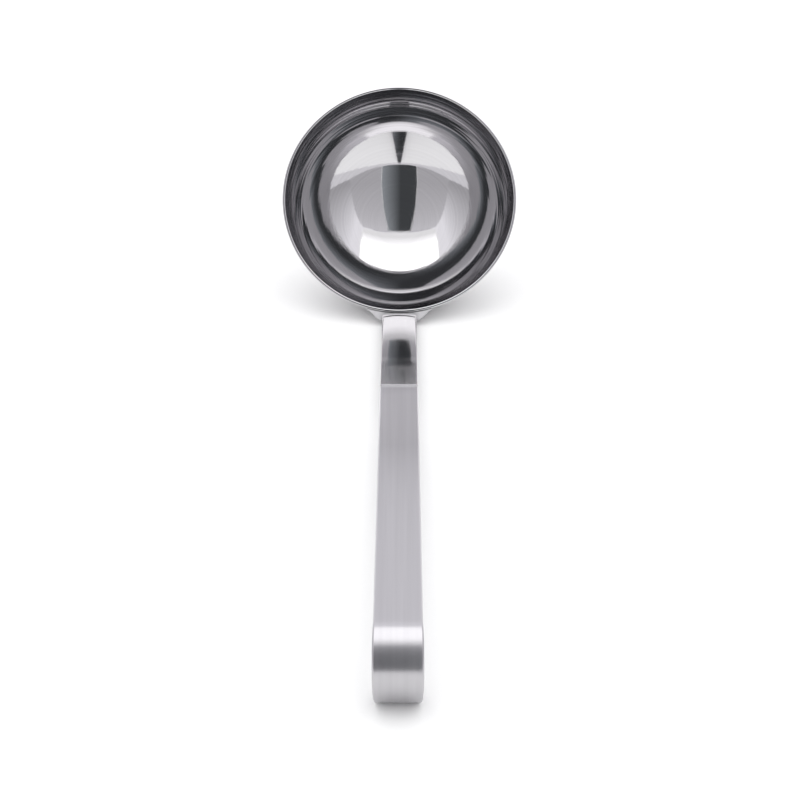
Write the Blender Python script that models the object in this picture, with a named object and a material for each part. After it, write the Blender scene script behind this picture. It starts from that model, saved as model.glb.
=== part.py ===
"""A kitchen ladle: a round drawn bowl, a forged neck that hugs its wall, and a long hooked handle.

The pieces are drawn in the bowl's own frame. The rim lies in the plane z = 0 with its centre at
the origin, the bowl hangs below it, and the neck and the handle climb away towards -Y.
An empty then lays the ladle down on a table, on the belly of the bowl and the back of the hook.
Sizes are in metres and angles in radians.
"""

from math import acos, cos, pi, radians, sin, sqrt

import bmesh
import bpy

# Bowl, a drawn sheet with a shallow floor and one rounded side
LIP_DIAMETER = 0.0900          # outside, across the rim
BOWL_WALL = 0.0012             # thickness of the sheet
FLOOR_RADIUS = 0.0504          # outside radius of the crowned floor
FLOOR_SLOPE = radians(25.0)    # slope of the wall where the floor turns into the side
LIP_SLOPE = radians(78.9)      # slope of the wall's outside at the rim
LIP_EDGE = 0.00045             # rounding of the rim's two edges

# Palm, the thin tongue of the neck that lies against the outside of the bowl
PALM_WIDTH = 0.0250            # across its top, measured round the rim
PALM_DROP = 0.0120             # how far it reaches down the wall
PALM_THICKNESS = 0.0012        # in the middle of its top
PALM_EDGE = 0.0003             # along its feathered outline
PALM_TURN = radians(84.6)      # how far its half-oval outline runs, short of a point

# Keel, the rib on the back of the palm that the shank grows out of
KEEL_HEIGHT = 0.0022           # above the palm, at its top
KEEL_DROP = 0.0090             # how far down the palm it takes to fade out
KEEL_FLAT = 0.0130             # width of its full height
ROOT_FLARE = 0.0055            # width over which each flank fades into the palm

# Shank, the straight bar of the neck
LEDGE = 0.0007                 # from the rim to the start of the upper face
BAR_ANGLE = radians(56.627)    # of the shank and the strap, above the plane of the rim
NECK_LENGTH = 0.0733           # from the plane of the rim to the joint
ROOT_WIDTH = 0.0131            # at the bowl
JOINT_WIDTH = 0.0135
ROOT_THICKNESS = 0.0024        # at the bowl
ROOT_DEPTH = 0.0010            # how far the bar runs on inside the keel
NECK_CROWN = 0.0002            # rise of the upper face across its width, at the bowl
NECK_EDGE = 0.0006             # rounding of the long edges

# Handle, a strap in line with the shank, with a hook
HANDLE_LENGTH = 0.1855         # from the joint to the start of the hook
HANDLE_THICKNESS = 0.0023
BEND_WIDTH = 0.0145            # where the hook starts
HOOK_WIDTH = 0.0150            # in the middle of the bend, its widest place
TIP_WIDTH = 0.0136             # at the hook's end, before it is rounded
HANDLE_EDGE = 0.0007           # rounding of the long edges
HOOK_RADIUS = 0.0125           # outside
HOOK_WRAP = radians(194.0)
TIP_ROUND = 0.0045             # corner radius of the hook's end

# Fits
SEAT = 0.0003                  # gap between pieces that are joined
JOINT_CHAMFER = 0.0003         # on both sides of the joint between neck and handle
ROUNDING_SHARE = 0.45          # of a wall, the most that one rounded edge may take

# Steps of the round forms
BOWL_SEGMENTS = 72
FLOOR_STEPS = 7
SIDE_STEPS = 14
LIP_STEPS = 4
PALM_ROWS = 13
PALM_COLUMNS = 36
SHANK_STEPS = 10
HOOK_STEPS = 26
TIP_STEPS = 6
FACE_STEPS = 8
EDGE_STEPS = 3
LEAN_STEPS = 40
MERGE_DISTANCE = 0.000001
SHARP_ANGLE = radians(35)      # faces that meet at more than this keep a crisp edge

# The side of the bowl is one arc, seen here from outside. Its centre lies a little off the axis.
SIDE_RADIUS = (LIP_DIAMETER / 2 - FLOOR_RADIUS * sin(FLOOR_SLOPE)) / (sin(LIP_SLOPE) - sin(FLOOR_SLOPE))
SIDE_X = LIP_DIAMETER / 2 - SIDE_RADIUS * sin(LIP_SLOPE)
SIDE_Z = SIDE_RADIUS * cos(LIP_SLOPE)
FLOOR_Z = SIDE_Z + (FLOOR_RADIUS - SIDE_RADIUS) * cos(FLOOR_SLOPE)


def side_point(slope, offset):
    """Radius and height of the bowl's side at that slope, moved outwards by offset."""
    radius = SIDE_RADIUS + offset
    return SIDE_X + radius * sin(slope), SIDE_Z - radius * cos(slope)


def side_slope(height, offset):
    """Slope of the bowl's side where it reaches that height, moved outwards by offset."""
    return acos((SIDE_Z - height) / (SIDE_RADIUS + offset))


def arc(centre, radius, start, end, steps):
    """Points of an arc, with angles that run from straight down towards +X."""
    angles = [start + (end - start) * i / steps for i in range(steps + 1)]
    return [(centre[0] + radius * sin(a), centre[1] - radius * cos(a)) for a in angles]


def fall(value, start, end):
    """A smooth fall from 1 at start to 0 at end."""
    share = min(max((value - start) / (end - start), 0.0), 1.0)
    return (1 + cos(pi * share)) / 2


def steel(name, colour, roughness):
    """Bare stainless steel."""
    material = bpy.data.materials.new(name)
    material.use_nodes = True
    shader = material.node_tree.nodes["Principled BSDF"]
    shader.inputs["Base Color"].default_value = (*colour, 1.0)
    shader.inputs["Metallic"].default_value = 1.0
    shader.inputs["Roughness"].default_value = roughness
    return material


def finish_piece(name, bm, material):
    """Turns a closed shape into a named, smooth-shaded object."""
    bmesh.ops.remove_doubles(bm, verts=bm.verts, dist=MERGE_DISTANCE)
    bmesh.ops.recalc_face_normals(bm, faces=bm.faces)
    mesh = bpy.data.meshes.new(name)
    bm.to_mesh(mesh)
    bm.free()
    mesh.materials.append(material)
    mesh.shade_smooth()
    mesh.set_sharp_from_angle(angle=SHARP_ANGLE)
    piece = bpy.data.objects.new(name, mesh)
    bpy.context.scene.collection.objects.link(piece)
    return piece


def bowl_profile():
    """Half of the wall's section, from the outer pole round the rim to the inner pole."""
    edge = min(LIP_EDGE, ROUNDING_SHARE * BOWL_WALL)
    inside = edge - BOWL_WALL
    outer = side_slope(-edge, -edge)
    inner = side_slope(-edge, inside)
    side = (SIDE_X, SIDE_Z)
    floor = (0.0, FLOOR_Z)
    points = arc(floor, FLOOR_RADIUS, 0.0, FLOOR_SLOPE, FLOOR_STEPS)
    points += arc(side, SIDE_RADIUS, FLOOR_SLOPE, outer, SIDE_STEPS)[1:-1]
    points += arc(side_point(outer, -edge), edge, outer, pi, LIP_STEPS)
    points += arc(side_point(inner, inside), edge, pi, pi + inner, LIP_STEPS)
    points += arc(side, SIDE_RADIUS - BOWL_WALL, inner, FLOOR_SLOPE, SIDE_STEPS)[1:]
    points += arc(floor, FLOOR_RADIUS - BOWL_WALL, FLOOR_SLOPE, 0.0, FLOOR_STEPS)[1:]
    return points


def build_bowl():
    """The bowl: its wall's section turned once round the axis."""
    bm = bmesh.new()
    verts = [bm.verts.new((radius, 0.0, height)) for radius, height in bowl_profile()]
    edges = [bm.edges.new(pair) for pair in zip(verts, verts[1:])]
    bmesh.ops.spin(bm, geom=verts + edges, axis=(0, 0, 1), cent=(0, 0, 0),
                   angle=2 * pi, steps=BOWL_SEGMENTS, use_merge=True)
    return finish_piece("bowl", bm, steel("bowl_mirror", (0.60, 0.60, 0.62), 0.03))


def palm_thickness(x, drop):
    """Thickness of the palm and its keel, at x across and drop below the rim."""
    dome = 1 - (2 * x / PALM_WIDTH) ** 2 - (drop / PALM_DROP) ** 2
    plate = PALM_EDGE + (PALM_THICKNESS - PALM_EDGE) * max(dome, 0.0)
    across = fall(abs(x), KEEL_FLAT / 2, KEEL_FLAT / 2 + ROOT_FLARE)
    return plate + KEEL_HEIGHT * across * fall(drop, 0.0, KEEL_DROP)


def wall_place(x, drop, offset):
    """The place x round the rim and drop down the wall, at an offset from the bowl's outside."""
    slope = side_slope(0.0, offset) - drop / SIDE_RADIUS
    radius, height = side_point(slope, offset)
    turn = 2 * x / LIP_DIAMETER
    return radius * sin(turn), -radius * cos(turn), height


def palm_grid(bm, lifted):
    """Rows of vertices over the palm's outline, on its inner face or, lifted, on its outer one."""
    rows = []
    for i in range(PALM_ROWS + 1):
        turn = PALM_TURN * i / PALM_ROWS
        drop = PALM_DROP * sin(turn)
        reach = PALM_WIDTH / 2 * cos(turn)
        row = []
        for j in range(PALM_COLUMNS + 1):
            x = reach * (2 * j / PALM_COLUMNS - 1)
            offset = SEAT + (palm_thickness(x, drop) if lifted else 0.0)
            row.append(bm.verts.new(wall_place(x, drop, offset)))
        rows.append(row)
    return rows


def palm_shape():
    """The palm: two curved faces over one outline, closed along their edges."""
    bm = bmesh.new()
    grids = [palm_grid(bm, False), palm_grid(bm, True)]
    for rows in grids:
        for upper, lower in zip(rows, rows[1:]):
            for j in range(PALM_COLUMNS):
                bm.faces.new((upper[j], upper[j + 1], lower[j + 1], lower[j]))
    inner, outer = (outline(rows) for rows in grids)
    for k in range(len(inner)):
        bm.faces.new((inner[k - 1], inner[k], outer[k], outer[k - 1]))
    return bm


def outline(rows):
    """The border of a grid, once round."""
    left = [row[0] for row in rows[1:-1]]
    right = [row[-1] for row in rows[1:-1]]
    return rows[0] + right + rows[-1][::-1] + left[::-1]


class Section:
    """A cross-section of a bar, hung from a point of its upper face."""

    def __init__(self, point, angle, width, thickness, edge, crown=0.0, inset=0.0):
        self.point = point          # (distance from the bowl's axis, height above the rim)
        self.angle = angle          # of the bar there, above the plane of the rim
        self.width = width - 2 * inset
        self.thickness = thickness - 2 * inset
        self.edge = min(edge, ROUNDING_SHARE * min(self.thickness - crown, self.width))
        self.crown = crown
        self.inset = inset

    def ring(self):
        """Points (across, below the upper face), once round."""
        half = self.width / 2
        flat = half - self.edge
        xs = [flat * (2 * i / FACE_STEPS - 1) for i in range(FACE_STEPS + 1)]
        points = [(x, self.crown * (x / half) ** 2) for x in xs]
        shoulder = self.crown * (flat / half) ** 2 + self.edge
        belly = self.thickness - self.edge
        right = arc((flat, -shoulder), self.edge, pi, pi / 2, EDGE_STEPS)[1:]
        right += arc((flat, -belly), self.edge, pi / 2, 0.0, EDGE_STEPS)
        points += [(x, -y) for x, y in right]
        points += [(-x, -y) for x, y in right[::-1]]
        return [(x, depth + self.inset) for x, depth in points]

    def verts(self, bm):
        """The ring as vertices in the bowl's frame."""
        u, v = self.point
        down = (sin(self.angle), -cos(self.angle))
        return [bm.verts.new((x, -(u + depth * down[0]), v + depth * down[1])) for x, depth in self.ring()]


def loft(sections):
    """A closed bar through its sections."""
    bm = bmesh.new()
    rings = [section.verts(bm) for section in sections]
    for ring, following in zip(rings, rings[1:]):
        for k in range(len(ring)):
            bm.faces.new((ring[k - 1], ring[k], following[k], following[k - 1]))
    bm.faces.new(rings[0][::-1])
    bm.faces.new(rings[-1])
    return bm


def ahead(point, angle, distance):
    """The point that far along the bar."""
    return point[0] + distance * cos(angle), point[1] + distance * sin(angle)


NECK_START = (LIP_DIAMETER / 2 + LEDGE, 0.0)
JOINT = ahead(NECK_START, BAR_ANGLE, NECK_LENGTH)
BEND_START = ahead(JOINT, BAR_ANGLE, HANDLE_LENGTH)
HOOK_CENTRE = ahead(BEND_START, BAR_ANGLE - pi / 2, HOOK_RADIUS)


def neck_section(distance, inset=0.0):
    """The shank's section that far from the plane of the rim: it widens and flattens as it goes."""
    share = min(max(distance / NECK_LENGTH, 0.0), 1.0)
    width = ROOT_WIDTH + (JOINT_WIDTH - ROOT_WIDTH) * share
    thickness = ROOT_THICKNESS + (HANDLE_THICKNESS - ROOT_THICKNESS) * share
    crown = NECK_CROWN * (1 - share)
    point = ahead(NECK_START, BAR_ANGLE, distance)
    return Section(point, BAR_ANGLE, width, thickness, NECK_EDGE, crown, inset)


def shank_shape():
    """The shank, from inside the keel to the joint."""
    end = NECK_LENGTH - SEAT / 2
    sections = [neck_section(-ROOT_DEPTH)]
    for i in range(SHANK_STEPS):
        sections.append(neck_section(end * i / SHANK_STEPS))
    sections.append(neck_section(end - JOINT_CHAMFER))
    sections.append(neck_section(end, JOINT_CHAMFER))
    return loft(sections)


def build_neck():
    """The neck and the form of its shank: the shank is forged in one with its palm."""
    material = steel("neck_mirror", (0.60, 0.60, 0.62), 0.04)
    neck = finish_piece("neck", palm_shape(), material)
    shank = finish_piece("shank_form", shank_shape(), material)
    shank.hide_render = True
    shank.display_type = "WIRE"
    forging = neck.modifiers.new("shank", "BOOLEAN")
    forging.operation = "UNION"
    forging.solver = "EXACT"
    forging.object = shank
    return neck, shank


def handle_section(point, angle, width, inset=0.0):
    """The strap's section: flat faces with rounded long edges."""
    return Section(point, angle, width, HANDLE_THICKNESS, HANDLE_EDGE, inset=inset)


def tip_width(distance):
    """Width of the hook's end, that far from its tip, with its corners rounded off."""
    rounding = min(TIP_ROUND, TIP_WIDTH / 2)
    reach = max(rounding - distance, 0.0)
    return TIP_WIDTH - 2 * rounding + 2 * sqrt(rounding ** 2 - reach ** 2)


def hook_width(share):
    """Width of the hook after that share of its bend, before its end is rounded."""
    straight = BEND_WIDTH + (TIP_WIDTH - BEND_WIDTH) * share
    return straight + (HOOK_WIDTH - (BEND_WIDTH + TIP_WIDTH) / 2) * sin(pi * share)


def hook_section(bend, width, inset=0.0):
    """The strap's section after that much of the bend."""
    angle = BAR_ANGLE - bend
    point = ahead(HOOK_CENTRE, angle + pi / 2, HOOK_RADIUS)
    return handle_section(point, angle, width, inset)


def handle_sections():
    """The strap from the joint to the bend, round the hook, and to its rounded tip."""
    start = SEAT / 2
    tip_bend = TIP_ROUND / HOOK_RADIUS
    plain_bend = HOOK_WRAP - tip_bend
    sections = [handle_section(ahead(JOINT, BAR_ANGLE, start), BAR_ANGLE, JOINT_WIDTH, JOINT_CHAMFER)]
    start += JOINT_CHAMFER
    sections.append(handle_section(ahead(JOINT, BAR_ANGLE, start), BAR_ANGLE, JOINT_WIDTH))
    for i in range(HOOK_STEPS + 1):
        bend = plain_bend * i / HOOK_STEPS
        sections.append(hook_section(bend, hook_width(bend / plain_bend)))
    for i in range(1, TIP_STEPS):
        left = tip_bend * (1 - sin(pi / 2 * i / TIP_STEPS))
        sections.append(hook_section(HOOK_WRAP - left, tip_width(left * HOOK_RADIUS)))
    sections.append(hook_section(HOOK_WRAP, tip_width(0.0), HANDLE_EDGE / 2))
    return sections


def build_handle():
    """The handle: one satin strap with a hook at its end."""
    return finish_piece("handle", loft(handle_sections()), steel("handle_satin", (0.66, 0.66, 0.68), 0.32))


def side_view(pieces, lean):
    """Every corner of the pieces as (along -Y, height), after the ladle leans by that angle."""
    corners = [vert.co for piece in pieces for vert in piece.data.vertices]
    return [(co.z * sin(lean) - co.y * cos(lean), co.y * sin(lean) + co.z * cos(lean)) for co in corners]


def lowest(pieces, lean):
    """Height of the lowest corner, measured from the centre of the rim."""
    return min(height for along, height in side_view(pieces, lean))


def resting_lean(back, front):
    """The lean at which the bowl's end and the hook touch the table together."""
    low, high = 0.0, pi / 2
    for step in range(LEAN_STEPS):
        middle = (low + high) / 2
        if lowest(front, middle) > lowest(back, middle):
            low = middle
        else:
            high = middle
    return (low + high) / 2


def lay_down(back, front):
    """Hangs the pieces on an empty that lays the ladle down over the middle of its footprint."""
    pieces = back + front
    lean = resting_lean(back, front)
    reach = [along for along, height in side_view(pieces, lean)]
    pose = bpy.data.objects.new("lying_pose", None)
    bpy.context.scene.collection.objects.link(pose)
    pose.location = (0.0, (min(reach) + max(reach)) / 2, -lowest(pieces, lean))
    pose.rotation_euler = (lean, 0.0, 0.0)
    for piece in pieces:
        piece.parent = pose


def build_ladle():
    """The whole ladle, lying on a table at z = 0."""
    for old in list(bpy.data.objects):
        bpy.data.objects.remove(old)
    bowl = build_bowl()
    neck, shank = build_neck()
    handle = build_handle()
    lay_down([bowl, neck, shank], [handle])
    bpy.context.view_layer.update()


build_ladle()
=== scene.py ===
# %% [markdown]
# # A serving ladle in polished and brushed steel
#
# The ladle is three pieces of stainless steel: a mirror-polished bowl, a forged neck that hugs the
# wall of the bowl, and a long strap with a hook, brushed lengthwise to a satin finish. Polished steel
# has hardly any colour of its own. What shows is the room in it, so this lesson is about smooth
# shapes, about the marks that polishing leaves on them, and about what stands round them.

from math import acos, atan2, cos, degrees, hypot, pi, radians, sin, sqrt, tan

import bmesh
import bpy
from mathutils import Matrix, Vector


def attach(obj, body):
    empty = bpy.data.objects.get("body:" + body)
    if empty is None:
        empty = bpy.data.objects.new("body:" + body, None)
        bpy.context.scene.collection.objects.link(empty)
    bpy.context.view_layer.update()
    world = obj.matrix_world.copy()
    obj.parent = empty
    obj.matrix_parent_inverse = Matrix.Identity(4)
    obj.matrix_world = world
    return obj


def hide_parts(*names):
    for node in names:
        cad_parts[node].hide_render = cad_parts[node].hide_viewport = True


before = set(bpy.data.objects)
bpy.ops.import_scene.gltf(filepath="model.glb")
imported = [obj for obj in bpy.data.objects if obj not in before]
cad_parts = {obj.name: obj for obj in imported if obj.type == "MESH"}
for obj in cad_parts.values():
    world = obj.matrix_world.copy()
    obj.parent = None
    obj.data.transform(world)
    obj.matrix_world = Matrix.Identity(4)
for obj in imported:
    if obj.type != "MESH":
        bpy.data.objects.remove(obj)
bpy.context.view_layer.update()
print("pieces in the model:", sorted(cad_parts))

# %% [markdown]
# ## Where the ladle lies
#
# It is easiest to model a ladle in its own frame: the rim lies flat in the plane z = 0, the bowl hangs
# below it, and the handle climbs away towards -Y. A finished piece is then tipped over by the lean
# below and lowered onto the table, where the belly of the bowl and the back of the hook touch it.

# %% The lean and the middle of the rim
LEAN = radians(51.9912)
RIM_CENTRE = Vector((0.0, 0.1307778, 0.0400483))


def lay_down(piece):
    """Tips a piece out of the ladle's own frame onto the table, and fixes its place in its mesh."""
    bpy.ops.object.select_all(action="DESELECT")
    piece.select_set(True)
    bpy.context.view_layer.objects.active = piece
    piece.rotation_euler = (LEAN, 0.0, 0.0)
    piece.location = RIM_CENTRE
    bpy.ops.object.transform_apply(location=True, rotation=True, scale=True)


print("the rim leans by", round(degrees(LEAN), 2), "degrees")

# %% [markdown]
# ## Helpers for modelling by hand
#
# An operator acts on all that is selected. So a new piece starts with everything deselected, and it
# ends the same way each time: doubles are merged, the normals are turned outwards, and round
# surfaces are shaded smooth, while edges sharper than an angle stay crisp.

# %% Start a piece at one point, and finish it
CREASE_ANGLE = radians(30.0)
MERGE_DISTANCE = 1e-6


def start_at_a_point(name, place):
    """A new piece in edit mode. It holds one vertex, which is selected."""
    bpy.ops.object.select_all(action="DESELECT")
    bpy.ops.mesh.primitive_plane_add(size=0.01)
    piece = bpy.context.object
    piece.name = piece.data.name = name
    bpy.ops.object.mode_set(mode="EDIT")
    bpy.ops.mesh.merge(type="CENTER")
    bpy.ops.transform.translate(value=place)
    return piece


def finish_mesh(piece):
    """Merges doubles, turns faces outwards, leaves edit mode and shades the piece smooth."""
    bpy.ops.mesh.select_all(action="SELECT")
    bpy.ops.mesh.remove_doubles(threshold=MERGE_DISTANCE)
    bpy.ops.mesh.normals_make_consistent(inside=False)
    bpy.ops.object.mode_set(mode="OBJECT")
    bpy.ops.object.shade_smooth_by_angle(angle=CREASE_ANGLE)
    print(piece.name, "has", len(piece.data.polygons), "faces")


# %% Soften edges
CRISP_ANGLE = radians(60.0)


def soften_edges(piece, width, steps, test):
    """Rounds those crisp edges of a piece whose middle passes the test."""
    bpy.ops.object.mode_set(mode="EDIT")
    bpy.ops.mesh.select_mode(type="EDGE")
    bpy.ops.mesh.select_all(action="DESELECT")
    bpy.ops.mesh.edges_select_sharp(sharpness=CRISP_ANGLE)
    shape = bmesh.from_edit_mesh(piece.data)
    for edge in shape.edges:
        if edge.select and not test((edge.verts[0].co + edge.verts[1].co) / 2):
            edge.select_set(False)
    shape.select_flush_mode()
    bmesh.update_edit_mesh(piece.data)
    bpy.ops.mesh.bevel(offset=width, offset_type="OFFSET", segments=steps, affect="EDGES")
    bpy.ops.mesh.select_mode(type="VERT")
    bpy.ops.object.mode_set(mode="OBJECT")


# %% [markdown]
# ## The bowl
#
# A bowl like this is drawn from a flat disc of sheet in a press, and then polished while it spins.
# So it is truly round, and its wall has nearly the same thickness everywhere. The section of its wall
# is drawn here as by compass: one vertex is spun round the centre of each arc in turn. The section is
# then spun once round the axis of the bowl. A mirror shows every flat facet, so the steps are fine.

# %% Sizes of the bowl
LIP_RADIUS = 0.0450
WALL = 0.0012
FLOOR_RADIUS = 0.0504
FLOOR_SLOPE = radians(25.0)
LIP_SLOPE = radians(78.9)
LIP_EDGE = 0.00045
SIDE_RADIUS = (LIP_RADIUS - FLOOR_RADIUS * sin(FLOOR_SLOPE)) / (sin(LIP_SLOPE) - sin(FLOOR_SLOPE))
SIDE_X = LIP_RADIUS - SIDE_RADIUS * sin(LIP_SLOPE)
SIDE_Z = SIDE_RADIUS * cos(LIP_SLOPE)
FLOOR_Z = SIDE_Z + (FLOOR_RADIUS - SIDE_RADIUS) * cos(FLOOR_SLOPE)


def side_point(slope, offset):
    """Radius and height of the wall's outside at that slope, moved outwards by offset."""
    radius = SIDE_RADIUS + offset
    return SIDE_X + radius * sin(slope), SIDE_Z - radius * cos(slope)


def side_slope(height, offset):
    """Slope of the wall where it reaches that height, moved outwards by offset."""
    return acos((SIDE_Z - height) / (SIDE_RADIUS + offset))


print("the side is an arc of radius", round(1000 * SIDE_RADIUS, 2), "mm")

# %% [markdown]
# The inside is not quite parallel to the outside. The press stretches the sheet where it bends most,
# and polishing evens it out, so the inner wall runs through a few arcs of its own. Each arc starts at
# the slope where the last one ended. The mirror picture in the bowl depends on these slopes.

# %% Slopes of the inner wall, and the radii between them
INNER_SLOPES = [radians(a) for a in (82.0, 54.7, 41.6, 30.7, 18.5, 8.8, 0.0)]
INNER_RADII = [0.0375, 0.0310, 0.0240, 0.0170, 0.0090, 0.0]
INNER_STEPS = [100, 28, 18, 16, 16, 16]
FLOOR_STEPS = 20
SIDE_STEPS = 44
RIM_STEPS = 8
ROUND_STEPS = 256


def draw_arc(centre, turn, steps):
    """Spins the selected end of the line round a centre, given as (radius, height)."""
    bpy.ops.mesh.spin(steps=steps, angle=turn, center=(centre[0], 0.0, centre[1]), axis=(0.0, 1.0, 0.0))


def draw_inner_wall(place):
    """The inner wall, from a place under the rim to the middle of the floor."""
    slope = INNER_SLOPES[0]
    for nearer, next_slope, steps in zip(INNER_RADII, INNER_SLOPES[1:], INNER_STEPS):
        bend = (place[0] - nearer) / (sin(slope) - sin(next_slope))
        centre = (place[0] - bend * sin(slope), place[1] + bend * cos(slope))
        draw_arc(centre, next_slope - slope, steps)
        place = (centre[0] + bend * sin(next_slope), centre[1] - bend * cos(next_slope))
        slope = next_slope


# %% Draw the section and spin it


def make_bowl():
    """The wall's section as one line, spun once round the axis."""
    bowl = start_at_a_point("bowl_shell", (0.0, 0.0, FLOOR_Z - FLOOR_RADIUS))
    outer = side_slope(-LIP_EDGE, -LIP_EDGE)
    draw_arc((0.0, FLOOR_Z), FLOOR_SLOPE, FLOOR_STEPS)
    draw_arc((SIDE_X, SIDE_Z), outer - FLOOR_SLOPE, SIDE_STEPS)
    draw_arc(side_point(outer, -LIP_EDGE), pi - outer, RIM_STEPS)
    slope = INNER_SLOPES[0]
    edge = (LIP_RADIUS - WALL + LIP_EDGE * sin(slope), -LIP_EDGE)
    rim_flat = edge[0] - side_point(outer, -LIP_EDGE)[0]
    bpy.ops.mesh.extrude_region_move(TRANSFORM_OT_translate={"value": (rim_flat, 0.0, 0.0)})
    draw_arc(edge, slope, RIM_STEPS)
    draw_inner_wall((edge[0] - LIP_EDGE * sin(slope), edge[1] + LIP_EDGE * cos(slope)))
    bpy.ops.mesh.select_all(action="SELECT")
    bpy.ops.mesh.spin(steps=ROUND_STEPS, angle=2 * pi, center=(0.0, 0.0, 0.0), axis=(0.0, 0.0, 1.0))
    finish_mesh(bowl)
    return bowl


bowl = make_bowl()

# %% [markdown]
# The polishing wheel follows the steep wall in steps, and leaves shallow rings there, one or two
# hundredths of a millimetre deep. No finger would feel them, but they split the mirror picture near
# the rim into fine bands. So they are made as geometry, along the normals. Each ring in the list is
# a pitch and a depth. They begin below the rounded rim and fade out where the wall turns to the floor.

# %% Rings near the rim
RINGS = ((0.0031, 0.000014), (0.0017, 0.000009), (0.0009, 0.000004))
RING_START = (0.0005, 0.0015)
RING_FADE = (0.012, 0.022)
INWARD = 0.02


def fall(value, start, end):
    """A smooth fall from 1 at start to 0 at end."""
    share = min(max((value - start) / (end - start), 0.0), 1.0)
    return (1 + cos(pi * share)) / 2


def ring_height(drop):
    """How far the inner wall stands in at that drop below the rim."""
    waves = sum(depth * sin(2 * pi * drop / pitch) for pitch, depth in RINGS)
    return waves * fall(drop, *RING_FADE) * (1 - fall(drop, *RING_START))


def add_rings(bowl):
    """Moves the vertices of the inner wall, whose normals look inward and up, by the rings."""
    inner = [v for v in bowl.data.vertices if v.normal.z > INWARD and v.co.z < -LIP_EDGE]
    moved = [(v, v.co + v.normal * ring_height(-v.co.z)) for v in inner]
    for vert, place in moved:
        vert.co = place
    print("vertices on the inner wall:", len(moved))


add_rings(bowl)
lay_down(bowl)

# %% [markdown]
# ## The neck
#
# The neck is forged from a bar. Its end is spread into a thin palm that lies against the outside of
# the bowl, where it is welded, and a rib on the palm's back carries the bar. The palm is bent to the
# arc of the wall, so its grid is laid on that arc by the same numbers as the wall. It is then
# extruded, and the new side is lifted off by the thickness that the forging has at each place.

# %% Sizes of the palm and its rib
SEAT = 0.0003
PALM_WIDTH = 0.0250
PALM_DROP = 0.0120
PALM_THICKNESS = 0.0012
PALM_EDGE = 0.0003
PALM_TURN = radians(84.6)
KEEL_HEIGHT = 0.0022
KEEL_DROP = 0.0090
KEEL_FLAT = 0.0130
ROOT_FLARE = 0.0055
WEB_TILT = radians(5.5)
WEB_BLEND = 0.0010
WEB_ROUNDING = 0.0012
PALM_COLUMNS = 96
PALM_ROWS = 40


def palm_layers(x, drop):
    """Thickness of the palm's plate and of the rib on it, at x across and drop below the rim."""
    dome = 1 - (2 * x / PALM_WIDTH) ** 2 - (drop / PALM_DROP) ** 2
    plate = PALM_EDGE + (PALM_THICKNESS - PALM_EDGE) * max(dome, 0.0)
    across = fall(abs(x), KEEL_FLAT / 2, KEEL_FLAT / 2 + ROOT_FLARE)
    return plate, across * KEEL_HEIGHT * fall(drop, 0.0, KEEL_DROP)


def web_rise(x, drop):
    """How far the palm's outer top edge stands above the rim, beside the rib."""
    beside = 1 - fall(abs(x), KEEL_FLAT / 2 - WEB_BLEND, KEEL_FLAT / 2 + WEB_BLEND)
    return sum(palm_layers(x, 0.0)) * tan(WEB_TILT) * beside * fall(drop, 0.0, WEB_ROUNDING)


print("the rib stands", round(1000 * sum(palm_layers(0.0, 0.0)), 2), "mm off the wall at the rim")

# %% Lay the palm on the wall


def wall_place(x, drop, offset):
    """The place x round the rim and drop down the wall, at an offset from the bowl's outside."""
    slope = side_slope(0.0, offset) - drop / SIDE_RADIUS
    radius, height = side_point(slope, offset)
    turn = x / LIP_RADIUS
    return Vector((radius * sin(turn), -radius * cos(turn), height))


def palm_place(u, v, lifted):
    """Where a point of a flat grid from -1 to 1 goes, on the palm's inner or lifted outer face."""
    turn = PALM_TURN * (1 - v) / 2
    x, drop = PALM_WIDTH / 2 * cos(turn) * u, PALM_DROP * sin(turn)
    if not lifted:
        return wall_place(x, drop, SEAT)
    return wall_place(x, drop, SEAT + sum(palm_layers(x, drop))) + Vector((0.0, 0.0, web_rise(x, drop)))


def make_palm():
    """The palm: a flat grid, extruded, with both sides laid on the wall."""
    bpy.ops.object.select_all(action="DESELECT")
    bpy.ops.mesh.primitive_grid_add(x_subdivisions=PALM_COLUMNS, y_subdivisions=PALM_ROWS, size=2.0)
    palm = bpy.context.object
    palm.name = palm.data.name = "neck_forging"
    bpy.ops.object.mode_set(mode="EDIT")
    bpy.ops.mesh.select_all(action="SELECT")
    bpy.ops.mesh.extrude_region_move()
    bpy.ops.object.mode_set(mode="OBJECT")
    for vert in palm.data.vertices:
        vert.co = palm_place(vert.co.x, vert.co.y, vert.select)
    bpy.ops.object.mode_set(mode="EDIT")
    finish_mesh(palm)
    return palm


palm = make_palm()

# %% [markdown]
# ## Ribbons
#
# The bar of the neck and the strap of the handle are both flat stock. Each is drawn as its right-hand
# edge, step by step along its run. That edge is extruded and mirrored across the middle, which gives
# a ribbon with its taper already in it. The ribbon then gets its thickness, and its edges are rounded.

# %% Where the bar and the strap run
LEDGE = 0.0007
BAR_ANGLE = radians(56.627)
NECK_LENGTH = 0.0733
HANDLE_LENGTH = 0.1855
HOOK_RADIUS = 0.0125


def ahead(point, distance):
    """The point that far along the bar, as (distance from the bowl's axis, height above the rim)."""
    return point[0] + distance * cos(BAR_ANGLE), point[1] + distance * sin(BAR_ANGLE)


def spot(x, point):
    """A place x across, at a point given as (distance from the bowl's axis, height)."""
    return Vector((x, -point[0], point[1]))


NECK_START = (LIP_RADIUS + LEDGE, 0.0)
JOINT = ahead(NECK_START, NECK_LENGTH)
BEND_START = ahead(JOINT, HANDLE_LENGTH)
HOOK_CENTRE = (
    BEND_START[0] + HOOK_RADIUS * sin(BAR_ANGLE),
    BEND_START[1] - HOOK_RADIUS * cos(BAR_ANGLE),
)
print("the bar climbs at", round(degrees(BAR_ANGLE - LEAN), 2), "degrees above the table")

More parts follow.
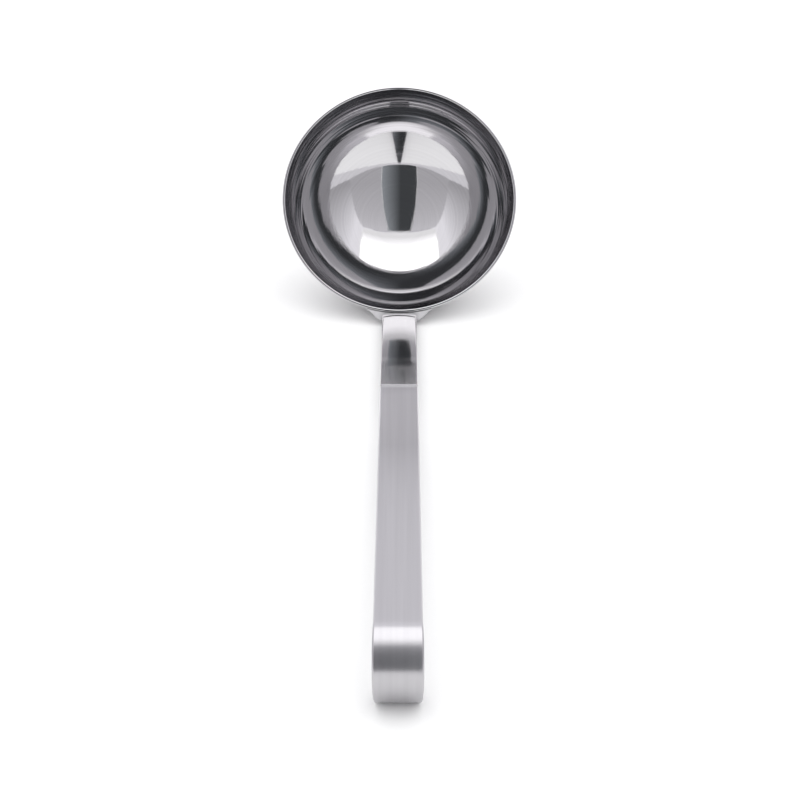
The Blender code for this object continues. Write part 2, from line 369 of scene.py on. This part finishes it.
# %% Draw an edge, and make it a ribbon with thickness


def run_from_joint(place):
    """How far past the joint a place lies, along the bar."""
    return (-place.y - JOINT[0]) * cos(BAR_ANGLE) + (place.z - JOINT[1]) * sin(BAR_ANGLE)


def draw_edge(name, start, end, steps):
    """A new piece: one edge line in equal steps, with its last vertex selected."""
    piece = start_at_a_point(name, start)
    step = (end - start) / steps
    for k in range(steps):
        bpy.ops.mesh.extrude_region_move(TRANSFORM_OT_translate={"value": step})
    return piece


def mirror_into_ribbon():
    """Extrudes the whole edge line and flips the copy over to the left."""
    bpy.ops.mesh.select_all(action="SELECT")
    bpy.ops.mesh.extrude_region_move()
    bpy.ops.transform.resize(value=(-1.0, 1.0, 1.0), center_override=(0.0, 0.0, 0.0))


def thicken(piece, thickness):
    """Gives a ribbon its thickness, below its upper face."""
    at_joint = min(piece.data.polygons, key=lambda face: abs(run_from_joint(face.center)))
    if at_joint.normal.z < 0:
        bpy.ops.object.mode_set(mode="EDIT")
        bpy.ops.mesh.select_all(action="SELECT")
        bpy.ops.mesh.flip_normals()
        bpy.ops.object.mode_set(mode="OBJECT")
    stock = piece.modifiers.new("stock", "SOLIDIFY")
    stock.thickness = thickness
    stock.offset = -1.0
    stock.use_even_offset = True
    bpy.ops.object.modifier_apply(modifier="stock")


# %% [markdown]
# ## The bar of the neck
#
# The bar is polished like the bowl. Its upper face is very slightly crowned where it leaves the bowl,
# as a hand-polished face is, and flattens towards the joint. The crown bends the picture of the
# bright roof into a fan. A swell that no finger would feel runs across the bar before the joint, and
# shows as a light band. The bar is joined to the palm by a Boolean, because they are one forging.

# %% Sizes of the bar
ROOT_WIDTH = 0.0131
JOINT_WIDTH = 0.0135
ROOT_DEPTH = 0.0010
BAR_THICKNESS = 0.0023
NECK_CROWN = 0.0002
NECK_EDGE = 0.0006
NECK_CHAMFER = 0.00004
SWELL_AT = 0.052
SWELL_LENGTH = 0.016
SWELL_HEIGHT = 0.00014
END_TOLERANCE = 0.0001
BAR_STEPS = 96
BAR_COLUMNS = 16


def shape_upper_face(bar):
    """Lowers the upper face towards its long edges, most at the bowl, and raises the swell."""
    for vert in bar.data.vertices:
        run = run_from_joint(vert.co) + NECK_LENGTH
        share = min(max(run / NECK_LENGTH, 0.0), 1.0)
        half = (ROOT_WIDTH + (JOINT_WIDTH - ROOT_WIDTH) * share) / 2
        crown = NECK_CROWN * (1 - share) * (vert.co.x / half) ** 2
        depth = crown - SWELL_HEIGHT * fall(abs(run - SWELL_AT), 0.0, SWELL_LENGTH / 2)
        vert.co -= spot(0.0, (-depth * sin(BAR_ANGLE), depth * cos(BAR_ANGLE)))


def make_bar():
    """The straight bar, from inside the rib to the joint."""

    def at_joint(middle):
        return abs(run_from_joint(middle) + SEAT / 2) < END_TOLERANCE

    start = spot(ROOT_WIDTH / 2, ahead(NECK_START, -ROOT_DEPTH))
    end = spot(JOINT_WIDTH / 2, ahead(JOINT, -SEAT / 2))
    bar = draw_edge("neck_bar", start, end, BAR_STEPS)
    mirror_into_ribbon()
    bpy.ops.mesh.select_all(action="DESELECT")
    shape = bmesh.from_edit_mesh(bar.data)
    for edge in shape.edges:
        edge.select_set(edge.verts[0].co.x * edge.verts[1].co.x < 0)
    bmesh.update_edit_mesh(bar.data)
    bpy.ops.mesh.subdivide(number_cuts=BAR_COLUMNS - 1)
    bpy.ops.object.mode_set(mode="OBJECT")
    shape_upper_face(bar)
    thicken(bar, BAR_THICKNESS)
    soften_edges(bar, NECK_EDGE, 5, lambda middle: not at_joint(middle))
    soften_edges(bar, NECK_CHAMFER, 2, at_joint)
    bpy.ops.object.mode_set(mode="EDIT")
    finish_mesh(bar)
    return bar


bar = make_bar()

# %% Join the bar to the palm


def make_neck(palm, bar):
    """The palm and the bar as one forging."""
    union = palm.modifiers.new("bar", "BOOLEAN")
    union.operation = "UNION"
    union.solver = "EXACT"
    union.object = bar
    bpy.ops.object.select_all(action="DESELECT")
    palm.select_set(True)
    bpy.context.view_layer.objects.active = palm
    bpy.ops.object.modifier_apply(modifier="bar")
    bpy.data.objects.remove(bar)
    bpy.ops.object.shade_smooth_by_angle(angle=CREASE_ANGLE)
    lay_down(palm)
    return palm


neck = make_neck(palm, bar)
print("the neck has", len(neck.data.polygons), "faces")

# %% [markdown]
# ## The strap and its hook
#
# The handle is a long strap of the same stock, welded to the neck end to end. It widens a little
# towards the hook, which is bent round a pin in one go, and its end is rounded off with a file. The
# edge line runs straight to the bend and is then spun round the pin.

# %% Sizes of the strap
STRAP_THICKNESS = 0.0023
BEND_WIDTH = 0.0145
HOOK_WIDTH = 0.0150
TIP_WIDTH = 0.0136
TIP_ROUND = 0.0045
HANDLE_EDGE = 0.0007
STRAP_CHAMFER = 0.00014
HOOK_WRAP = radians(194.0)
TIP_BEND = TIP_ROUND / HOOK_RADIUS
STRAP_STEPS = 40
HOOK_STEPS = 72
TIP_STEPS = 24
BEND_MARGIN = 0.1
PIN_TOLERANCE = 1e-5


def hook_width(bend):
    """Width of the hook after that much of its bend: widest half way round, rounded off at its end."""
    share = min(bend / (HOOK_WRAP - TIP_BEND), 1.0)
    straight = BEND_WIDTH + (TIP_WIDTH - BEND_WIDTH) * share
    width = straight + (HOOK_WIDTH - (BEND_WIDTH + TIP_WIDTH) / 2) * sin(pi * share)
    reach = max(TIP_ROUND - (HOOK_WRAP - bend) * HOOK_RADIUS, 0.0)
    return width - 2 * TIP_ROUND + 2 * sqrt(TIP_ROUND ** 2 - min(reach, TIP_ROUND) ** 2)


def bend_at(place):
    """How far round the hook a place lies."""
    turn = atan2(place.z - HOOK_CENTRE[1], -place.y - HOOK_CENTRE[0])
    return (BAR_ANGLE + pi / 2 - turn + BEND_MARGIN) % (2 * pi) - BEND_MARGIN


def shape_hook_edge(strap):
    """Moves the drawn edge in or out along the hook."""
    for vert in strap.data.vertices:
        off_pin = hypot(vert.co.z - HOOK_CENTRE[1], -vert.co.y - HOOK_CENTRE[0])
        if abs(off_pin - HOOK_RADIUS) < PIN_TOLERANCE:
            vert.co.x = hook_width(bend_at(vert.co)) / 2


# %% Make the strap


def make_strap():
    """The strap from the joint to the bend, round the hook, and to its rounded tip."""

    def at_joint(middle):
        return abs(run_from_joint(middle) - SEAT / 2) < END_TOLERANCE

    start = spot(JOINT_WIDTH / 2, ahead(JOINT, SEAT / 2))
    strap = draw_edge("handle_strap", start, spot(BEND_WIDTH / 2, BEND_START), STRAP_STEPS)
    pin = spot(0.0, HOOK_CENTRE)
    for steps, bend in ((HOOK_STEPS, HOOK_WRAP - TIP_BEND), (TIP_STEPS, TIP_BEND)):
        bpy.ops.mesh.spin(steps=steps, angle=bend, center=pin, axis=(-1.0, 0.0, 0.0))
    bpy.ops.object.mode_set(mode="OBJECT")
    shape_hook_edge(strap)
    bpy.ops.object.mode_set(mode="EDIT")
    mirror_into_ribbon()
    bpy.ops.object.mode_set(mode="OBJECT")
    thicken(strap, STRAP_THICKNESS)
    soften_edges(strap, HANDLE_EDGE, 6, lambda middle: not at_joint(middle))
    soften_edges(strap, STRAP_CHAMFER, 3, at_joint)
    bpy.ops.object.mode_set(mode="EDIT")
    finish_mesh(strap)
    return strap


handle = make_strap()

# %% [markdown]
# The brushed finish follows the strap round its hook, so the strap gets a map of its own: one
# direction runs across, and the other along the strap and round the bend.

# %% Unroll the strap


def run_along(place):
    """How far along the strap a place lies, measured round the hook too."""
    run = run_from_joint(place)
    below = (-place.y - JOINT[0]) * sin(BAR_ANGLE) - (place.z - JOINT[1]) * cos(BAR_ANGLE)
    if run < HANDLE_LENGTH and below < HOOK_RADIUS:
        return run
    return HANDLE_LENGTH + bend_at(place) * HOOK_RADIUS


def unroll(strap):
    """Writes (across, along) in metres into a map of the strap."""
    across_along = strap.data.uv_layers.new(name="across_along")
    for loop in strap.data.loops:
        place = strap.data.vertices[loop.vertex_index].co
        across_along.data[loop.index].uv = (place.x, run_along(place))


unroll(handle)
lay_down(handle)
FLAT_LENGTH = HANDLE_LENGTH + HOOK_WRAP * HOOK_RADIUS
print("the strap is", round(1000 * FLAT_LENGTH), "mm long before it is bent")

# %% The pieces stand for the solids
for piece, node, slot in (
    (bowl, "bowl", "bowl_mirror"),
    (neck, "neck", "neck_mirror"),
    (handle, "handle", "handle_satin"),
):
    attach(piece, "root")
    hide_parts(node)

# %% [markdown]
# ## Polished steel
#
# Stainless steel is a nearly neutral grey mirror that throws back about six tenths of the light.
# Polishing leaves very fine lines that follow the way the wheel went, and a faint waviness that bends
# straight reflections. The lines are a few thousandths of a millimetre deep and the waves a fiftieth.
# Both are bumps from noise patterns, and the tint and the roughness change a little with the lines.

# %% Helpers for materials


def new_finish(name, roughness):
    """A metal finish with its nodes, links and shader."""
    finish = bpy.data.materials.new(name)
    finish.use_nodes = True
    nodes, links = finish.node_tree.nodes, finish.node_tree.links
    shader = nodes["Principled BSDF"]
    shader.inputs["Metallic"].default_value = 1.0
    shader.inputs["Roughness"].default_value = roughness
    return finish, nodes, links, shader


def own_frame(nodes, links, turn, stretch=(1.0, 1.0, 1.0)):
    """Coordinates turned back to a frame of the ladle's own, about the middle of the rim."""
    place = nodes.new("ShaderNodeTexCoord")
    mapping = nodes.new("ShaderNodeMapping")
    mapping.vector_type = "TEXTURE"
    mapping.inputs["Location"].default_value = RIM_CENTRE
    mapping.inputs["Rotation"].default_value = (turn, 0.0, 0.0)
    mapping.inputs["Scale"].default_value = stretch
    links.new(place.outputs["Object"], mapping.inputs["Vector"])
    return mapping.outputs["Vector"]


def noise(nodes, links, vector, scale, detail=2.0):
    """A noise pattern, as a value from 0 to 1."""
    pattern = nodes.new("ShaderNodeTexNoise")
    pattern.inputs["Scale"].default_value = scale
    pattern.inputs["Detail"].default_value = detail
    links.new(vector, pattern.inputs["Vector"])
    return pattern.outputs["Fac"]


def bump(nodes, links, height, depth, normal=None):
    """A bump of that depth in metres, on top of another one if that is given."""
    node = nodes.new("ShaderNodeBump")
    node.inputs["Strength"].default_value = 1.0
    node.inputs["Distance"].default_value = depth
    links.new(height, node.inputs["Height"])
    if normal is not None:
        links.new(normal, node.inputs["Normal"])
    return node.outputs["Normal"]


def between(nodes, links, value, low, high):
    """A value from 0.3 to 0.7 spread over low to high."""
    spread = nodes.new("ShaderNodeMapRange")
    for name, number in (("From Min", 0.3), ("From Max", 0.7), ("To Min", low), ("To Max", high)):
        spread.inputs[name].default_value = number
    links.new(value, spread.inputs["Value"])
    return spread.outputs["Result"]


def ramp_along(nodes, links, vector, axis, start, end, first, last):
    """A value that goes from first to last between two places along an axis."""
    split = nodes.new("ShaderNodeSeparateXYZ")
    ramp = nodes.new("ShaderNodeMapRange")
    links.new(vector, split.inputs["Vector"])
    links.new(split.outputs[axis], ramp.inputs["Value"])
    for name, value in (("From Min", start), ("From Max", end), ("To Min", first), ("To Max", last)):
        ramp.inputs[name].default_value = value
    return ramp.outputs["Result"]


def join(nodes, links, operation, first, second):
    """Two values added or multiplied."""
    node = nodes.new("ShaderNodeMath")
    node.operation = operation
    links.new(first, node.inputs[0])
    links.new(second, node.inputs[1])
    return node.outputs["Value"]


def tint(nodes, links, value, dark, light):
    """A colour between two, chosen by a value."""
    ramp = nodes.new("ShaderNodeValToRGB")
    ramp.color_ramp.elements[0].position = 0.3
    ramp.color_ramp.elements[1].position = 0.7
    ramp.color_ramp.elements[0].color = (*dark, 1.0)
    ramp.color_ramp.elements[1].color = (*light, 1.0)
    links.new(value, ramp.inputs["Fac"])
    return ramp.outputs["Color"]


# %% A polish of lines and waves
MIRROR_DARK = (0.60, 0.592, 0.604)
MIRROR_LIGHT = (0.64, 0.632, 0.644)
WAVE_DEPTH = 0.00002


def polish(nodes, links, shader, line_pattern, line_depth, wave_pattern):
    """Lines and waves as bumps, and a tint that follows the lines."""
    waves = bump(nodes, links, wave_pattern, WAVE_DEPTH)
    links.new(bump(nodes, links, line_pattern, line_depth, waves), shader.inputs["Normal"])
    links.new(tint(nodes, links, line_pattern, MIRROR_DARK, MIRROR_LIGHT), shader.inputs["Base Color"])


# %% The bowl's mirror polish
BOWL_LINES = 1500.0
BOWL_LINE_DEPTH = 0.000006
BOWL_WAVES = 70.0
BOWL_ROUGHNESS = (0.03, 0.07)


def ring_coordinates(nodes, links):
    """Coordinates of (radius, height): whatever is drawn in them runs round the bowl in rings."""
    split = nodes.new("ShaderNodeSeparateXYZ")
    links.new(own_frame(nodes, links, LEAN), split.inputs["Vector"])
    flat = nodes.new("ShaderNodeCombineXYZ")
    links.new(split.outputs["X"], flat.inputs["X"])
    links.new(split.outputs["Y"], flat.inputs["Y"])
    radius = nodes.new("ShaderNodeVectorMath")
    radius.operation = "LENGTH"
    links.new(flat.outputs["Vector"], radius.inputs[0])
    rings = nodes.new("ShaderNodeCombineXYZ")
    links.new(radius.outputs["Value"], rings.inputs["X"])
    links.new(split.outputs["Z"], rings.inputs["Z"])
    return rings.outputs["Vector"]


def bowl_polish():
    """Mirror steel with rings of polishing lines."""
    finish, nodes, links, shader = new_finish("bowl_mirror", 0.05)
    lines = noise(nodes, links, ring_coordinates(nodes, links), BOWL_LINES, 3.0)
    waves = noise(nodes, links, own_frame(nodes, links, LEAN), BOWL_WAVES, 1.0)
    polish(nodes, links, shader, lines, BOWL_LINE_DEPTH, waves)
    links.new(between(nodes, links, lines, *BOWL_ROUGHNESS), shader.inputs["Roughness"])
    return finish


bowl.data.materials.append(bowl_polish())
print("the bowl's finish has", len(bowl.data.materials[0].node_tree.nodes), "nodes")

# %% [markdown]
# The neck is polished lengthwise, so its lines run along the bar: the same noise, squeezed across
# the bar and stretched along it. The brush of the strap overran the joint a little, so the mirror
# grows duller from 28 to 14 mm before it. The top edge of the palm, level with the rim, was only
# ground. Both are ramps in the ladle's own frame that add to the roughness.

# %% The neck's polish
NECK_LINES = 1600.0
NECK_LINE_DEPTH = 0.000004
NECK_WAVES = 90.0
NECK_ROUGHNESS = (0.04, 0.09)
LINE_STRETCH = 60.0
JOINT_ALONG = JOINT[0] * cos(BAR_ANGLE) + JOINT[1] * sin(BAR_ANGLE)
OVERRUN_RAMP = ("Y", 0.028 - JOINT_ALONG, 0.014 - JOINT_ALONG, 0.0, 0.12)
GROUND_RAMP = ("Z", -0.0006, -0.0002, 0.0, 0.28)
BELOW_BAR_RAMP = ("Z", 0.0006, 0.0010, 1.0, 0.0)


def neck_polish():
    """Mirror steel with fine lengthwise lines, duller near the joint."""
    finish, nodes, links, shader = new_finish("neck_mirror", 0.06)
    along_bar = own_frame(nodes, links, LEAN - BAR_ANGLE)
    lengthwise = own_frame(nodes, links, LEAN - BAR_ANGLE, (1.0, LINE_STRETCH, 1.0))
    lines = noise(nodes, links, lengthwise, NECK_LINES, 3.0)
    polish(nodes, links, shader, lines, NECK_LINE_DEPTH, noise(nodes, links, along_bar, NECK_WAVES, 1.0))
    overrun = ramp_along(nodes, links, along_bar, *OVERRUN_RAMP)
    dulled = join(nodes, links, "ADD", between(nodes, links, lines, *NECK_ROUGHNESS), overrun)
    above_rim = own_frame(nodes, links, LEAN)
    ground = ramp_along(nodes, links, above_rim, *GROUND_RAMP)
    below_bar = ramp_along(nodes, links, above_rim, *BELOW_BAR_RAMP)
    edge = join(nodes, links, "MULTIPLY", ground, below_bar)
    links.new(join(nodes, links, "ADD", dulled, edge), shader.inputs["Roughness"])
    return finish


neck.data.materials.append(neck_polish())
print("the neck's finish has", len(neck.data.materials[0].node_tree.nodes), "nodes")

# %% [markdown]
# ## Brushed steel
#
# The strap is brushed lengthwise with a belt. Its scratches scatter light sideways much more than
# lengthwise, which is what the shader's anisotropy does: the highlight is drawn out across the
# strap, along the tangent from the map. Long faint streaks vary the tone and the roughness. Near the
# joint the steel's colour is painted lighter, a painted light that brightens the reflection there.

# %% The strap's satin finish
STREAKS = 2600.0
STREAK_DEPTH = 0.000006
STREAK_STRETCH = 0.012
BANDS = 500.0
SATIN_DARK = (0.485, 0.477, 0.494)
SATIN_LIGHT = (0.525, 0.517, 0.534)
SATIN_ROUGHNESS = (0.29, 0.37)
SIDEWAYS_SCATTER = 0.75
# Painted light: near the joint the strap's colour is made up to 1.42 times lighter, fading out 55 mm
# along.
JOINT_PAINTED_LIGHT_RAMP = ("Y", 0.010, 0.055, 1.42, 1.0)


def strap_satin():
    """Satin steel with streaks that follow the strap, and painted light near the joint."""
    finish, nodes, links, shader = new_finish("handle_satin", 0.33)
    shader.inputs["Anisotropic"].default_value = SIDEWAYS_SCATTER
    across = nodes.new("ShaderNodeTangent")
    across.direction_type = "UV_MAP"
    across.uv_map = "across_along"
    links.new(across.outputs["Tangent"], shader.inputs["Tangent"])
    unrolled = nodes.new("ShaderNodeUVMap")
    unrolled.uv_map = "across_along"
    stretch = nodes.new("ShaderNodeMapping")
    stretch.inputs["Scale"].default_value = (1.0, STREAK_STRETCH, 1.0)
    links.new(unrolled.outputs["UV"], stretch.inputs["Vector"])
    streaks = noise(nodes, links, stretch.outputs["Vector"], STREAKS, 4.0)
    bands = noise(nodes, links, stretch.outputs["Vector"], BANDS, 1.0)
    links.new(bump(nodes, links, streaks, STREAK_DEPTH), shader.inputs["Normal"])
    links.new(between(nodes, links, streaks, *SATIN_ROUGHNESS), shader.inputs["Roughness"])
    # The streak tint is scaled by the painted light near the joint.
    tint_with_painted_light = nodes.new("ShaderNodeVectorMath")
    tint_with_painted_light.operation = "SCALE"
    links.new(tint(nodes, links, bands, SATIN_DARK, SATIN_LIGHT), tint_with_painted_light.inputs[0])
    links.new(ramp_along(nodes, links, unrolled.outputs["UV"], *JOINT_PAINTED_LIGHT_RAMP), tint_with_painted_light.inputs["Scale"])
    links.new(tint_with_painted_light.outputs["Vector"], shader.inputs["Base Color"])
    return finish


handle.data.materials.append(strap_satin())
print("the strap's finish has", len(handle.data.materials[0].node_tree.nodes), "nodes")

# %% [markdown]
# ## The studio
#
# Polished steel is photographed in a tent of white cloth, on white paper, with the lens looking in
# through a slit. The slit is the dark doorway in the middle of the bowl's picture, and the bright
# roof above it is the cloth under the lamp. First comes the paper.

# %% The table
TABLE_SIZE = 6.0
PAPER = 0.92
PAPER_GRAIN = 900.0
GRAIN_SHADE = 0.99


def paper_finish():
    """White paper with a faint grain."""
    paper = bpy.data.materials.new("paper")
    paper.use_nodes = True
    nodes, links = paper.node_tree.nodes, paper.node_tree.links
    place = nodes.new("ShaderNodeTexCoord")
    grain = noise(nodes, links, place.outputs["Object"], PAPER_GRAIN)
    light = (PAPER, PAPER, PAPER + 0.005)
    shader = nodes["Principled BSDF"]
    shader.inputs["Roughness"].default_value = 0.9
    shaded = [GRAIN_SHADE * c for c in light]
    links.new(tint(nodes, links, grain, shaded, light), shader.inputs["Base Color"])
    return paper


bpy.ops.object.select_all(action="DESELECT")
bpy.ops.mesh.primitive_plane_add(size=TABLE_SIZE)
table = bpy.context.object
table.name = "table"
table.data.materials.append(paper_finish())

# %% [markdown]
# Each panel of the tent is a card that glows a little. The walls are darker near the table and
# brighter under the lamp, and the roof grows brighter from the slit inwards. The low strip at the
# back is bright again at its foot, where the white paper shines on it, and the strap mirrors that
# strip. The cards show only in reflections, so they can stand between the lens and the ladle.

# %% A card of cloth
CLOTH_COLOUR = (1.0, 0.988, 1.03)
ROOF_COLOUR = (1.0, 0.997, 1.005)


def cloth_card(name, corners, ramp, colour=CLOTH_COLOUR):
    """A panel of the tent with a brightness ramp. It shows only in reflections."""
    mesh = bpy.data.meshes.new(name)
    mesh.from_pydata(corners, [], [tuple(range(len(corners)))])
    card = bpy.data.objects.new(name, mesh)
    bpy.context.scene.collection.objects.link(card)
    cloth = bpy.data.materials.new(name)
    cloth.use_nodes = True
    nodes, links = cloth.node_tree.nodes, cloth.node_tree.links
    nodes.clear()
    glow = nodes.new("ShaderNodeEmission")
    glow.inputs["Color"].default_value = (*colour, 1.0)
    room = nodes.new("ShaderNodeTexCoord")
    links.new(ramp_along(nodes, links, room.outputs["Object"], *ramp), glow.inputs["Strength"])
    out = nodes.new("ShaderNodeOutputMaterial")
    links.new(glow.outputs["Emission"], out.inputs["Surface"])
    mesh.materials.append(cloth)
    card.visible_camera = False
    card.visible_diffuse = False
    card.visible_shadow = False
    card.visible_transmission = False


# %% Places in the room


def world_y(forward):
    """The world's y of a place that far in front of the middle of the rim."""
    return RIM_CENTRE.y - forward


def upright(name, start, end, low, high, ramp, colour=CLOTH_COLOUR):
    """An upright panel between two places of (x, forward)."""
    places = ((start, low), (end, low), (end, high), (start, high))
    cloth_card(name, [(x, world_y(f), z) for (x, f), z in places], ramp, colour)


def level(name, x_half, back, front, height, ramp):
    """A level panel."""
    places = [(-x_half, back), (x_half, back), (x_half, front), (-x_half, front)]
    cloth_card(name, [(x, world_y(f), height) for x, f in places], ramp, ROOF_COLOUR)


# %% The tent
TENT_HALF = 0.91
TENT_FRONT = 0.80
TENT_BACK = 0.96
TENT_HEIGHT = 1.576
BACK_SEAM = 0.46
LAYER_GAP = 0.016
DOOR_HALF = 0.232
DOOR_TOP = 1.504
HEM = 0.019
HEM_LEFT = -0.77
HEM_RIGHT = 0.58
ROOF_HALF = 0.875
ROOF_FRONT = 0.672
ROOF_BRIGHT = 0.352
WALL_RAMP = ("Z", 0.30, 1.42, 0.56, 0.80)
SIDE_RAMP = ("Z", 0.22, 1.18, 0.50, 1.15)
DOOR_RAMP = ("X", -0.016, 0.256, 0.08, 0.45)
DOOR_COLOUR = (0.88, 0.94, 1.0)
HEM_RAMP = ("X", -1.0, 1.0, 0.25, 0.25)
LOW_BACK_RAMP = ("Z", 0.32, 0.42, 1.15, 0.86)
BACK_RAMP = ("Z", 0.50, 0.68, 0.86, 1.12)
OVER_DOOR_RAMP = ("Z", 1.42, 1.576, 1.1, 1.2)
ROOF_RAMP = ("Y", world_y(ROOF_FRONT), world_y(ROOF_BRIGHT), 1.2, 2.1)
EDGE_RAMP = ("Y", -1.0, 1.0, 1.15, 1.15)

BEHIND = TENT_FRONT + LAYER_GAP
INSIDE = TENT_FRONT - LAYER_GAP

upright("front_left", (-TENT_HALF, TENT_FRONT), (-DOOR_HALF, TENT_FRONT), 0.0, DOOR_TOP, WALL_RAMP)
upright("front_right", (DOOR_HALF, TENT_FRONT), (TENT_HALF, TENT_FRONT), 0.0, DOOR_TOP, WALL_RAMP)
upright("doorway", (-DOOR_HALF, BEHIND), (DOOR_HALF, BEHIND), 0.0, DOOR_TOP, DOOR_RAMP, DOOR_COLOUR)
upright("hem", (HEM_LEFT, INSIDE), (HEM_RIGHT, INSIDE), DOOR_TOP - HEM, DOOR_TOP, HEM_RAMP)
FRONT_CORNERS = (-TENT_HALF, TENT_FRONT), (TENT_HALF, TENT_FRONT)
BACK_CORNERS = (-TENT_HALF, -TENT_BACK), (TENT_HALF, -TENT_BACK)
upright("over_door", *FRONT_CORNERS, DOOR_TOP, TENT_HEIGHT, OVER_DOOR_RAMP)
upright("side_left", BACK_CORNERS[0], FRONT_CORNERS[0], 0.0, TENT_HEIGHT, SIDE_RAMP)
upright("side_right", BACK_CORNERS[1], FRONT_CORNERS[1], 0.0, TENT_HEIGHT, SIDE_RAMP)
upright("low_back", *BACK_CORNERS, 0.0, BACK_SEAM, LOW_BACK_RAMP)
upright("back", *BACK_CORNERS, BACK_SEAM, TENT_HEIGHT, BACK_RAMP)
level("roof", ROOF_HALF, -TENT_BACK, ROOF_FRONT, TENT_HEIGHT, ROOF_RAMP)
level("roof_edge", TENT_HALF, -TENT_BACK, TENT_FRONT, TENT_HEIGHT + LAYER_GAP, EDGE_RAMP)

# %% [markdown]
# The paper on the table curls up where it meets the cloth, a little more towards the sides.
# Its curled edge is drawn as cards that glow like lit paper and show only in reflections.

# %% The paper's curled edge
CURL_RAMP = ("Z", -1.0, 1.0, 0.90, 0.90)
CURL_HEIGHT = 0.027
CURL_RISE = 0.136
SIDE_CURL = 0.152
CURL_STEPS = 40


def curled_paper():
    """The front edge of the paper, and its two sides."""
    front = world_y(TENT_FRONT - 2 * LAYER_GAP)
    xs = [TENT_HALF * (2 * i / CURL_STEPS - 1) for i in range(CURL_STEPS + 1)]
    top = [(x, front, CURL_HEIGHT + CURL_RISE * (x / TENT_HALF) ** 2) for x in xs]
    foot = [(x, y, 0.0) for x, y, z in top[::-1]]
    cloth_card("paper_front", top + foot, CURL_RAMP)
    for side in (-1, 1):
        place = (TENT_HALF - LAYER_GAP) * side
        name = "paper_left" if side < 0 else "paper_right"
        upright(name, (place, -TENT_BACK), (place, TENT_FRONT), 0.0, SIDE_CURL, CURL_RAMP)


curled_paper()

# %% [markdown]
# The light that reaches the paper comes softly from all sides, so the shadows are very light. The
# mirror finish needs many bounces, because near the rim light goes round the bowl several times.

# %% Light for the table
DAYLIGHT = 1.22
LAMP_WATTS = 2.0
LAMP_SIZE = 1.2
LAMP_HEIGHT = 1.5
MIRROR_BOUNCES = 20

world = bpy.data.worlds.new("pale_room")
world.use_nodes = True
world.node_tree.nodes["Background"].inputs["Color"].default_value = (1.0, 1.0, 1.0, 1.0)
world.node_tree.nodes["Background"].inputs["Strength"].default_value = DAYLIGHT
bpy.context.scene.world = world
bpy.ops.object.light_add(type="AREA", location=(0.0, 0.0, LAMP_HEIGHT))
lamp = bpy.context.object
lamp.name = "soft_lamp"
lamp.data.shape = "SQUARE"
lamp.data.size = LAMP_SIZE
lamp.data.energy = LAMP_WATTS
lamp.visible_glossy = False
bpy.context.scene.view_settings.view_transform = "Standard"
bpy.context.scene.cycles.max_bounces = MIRROR_BOUNCES
bpy.context.scene.cycles.glossy_bounces = MIRROR_BOUNCES

# %% [markdown]
# ## The camera
#
# The camera stands a little under a metre in front of the bowl and looks down over the handle.

# %% The camera
CAMERA_LENS = 117.0
CAMERA_FORWARD = 0.9276
CAMERA_ASIDE = 0.00129
CAMERA_HEIGHT = 0.4148
CAMERA_PITCH = radians(26.434)
CAMERA_TURN = radians(0.065)
camera = bpy.data.objects.new("camera", bpy.data.cameras.new("camera"))
bpy.context.scene.collection.objects.link(camera)
camera.data.lens = CAMERA_LENS
camera.data.clip_start = 0.01
camera.location = (CAMERA_ASIDE, world_y(CAMERA_FORWARD), CAMERA_HEIGHT)
camera.rotation_euler = (pi / 2 - CAMERA_PITCH, 0.0, CAMERA_TURN)
bpy.context.scene.camera = camera
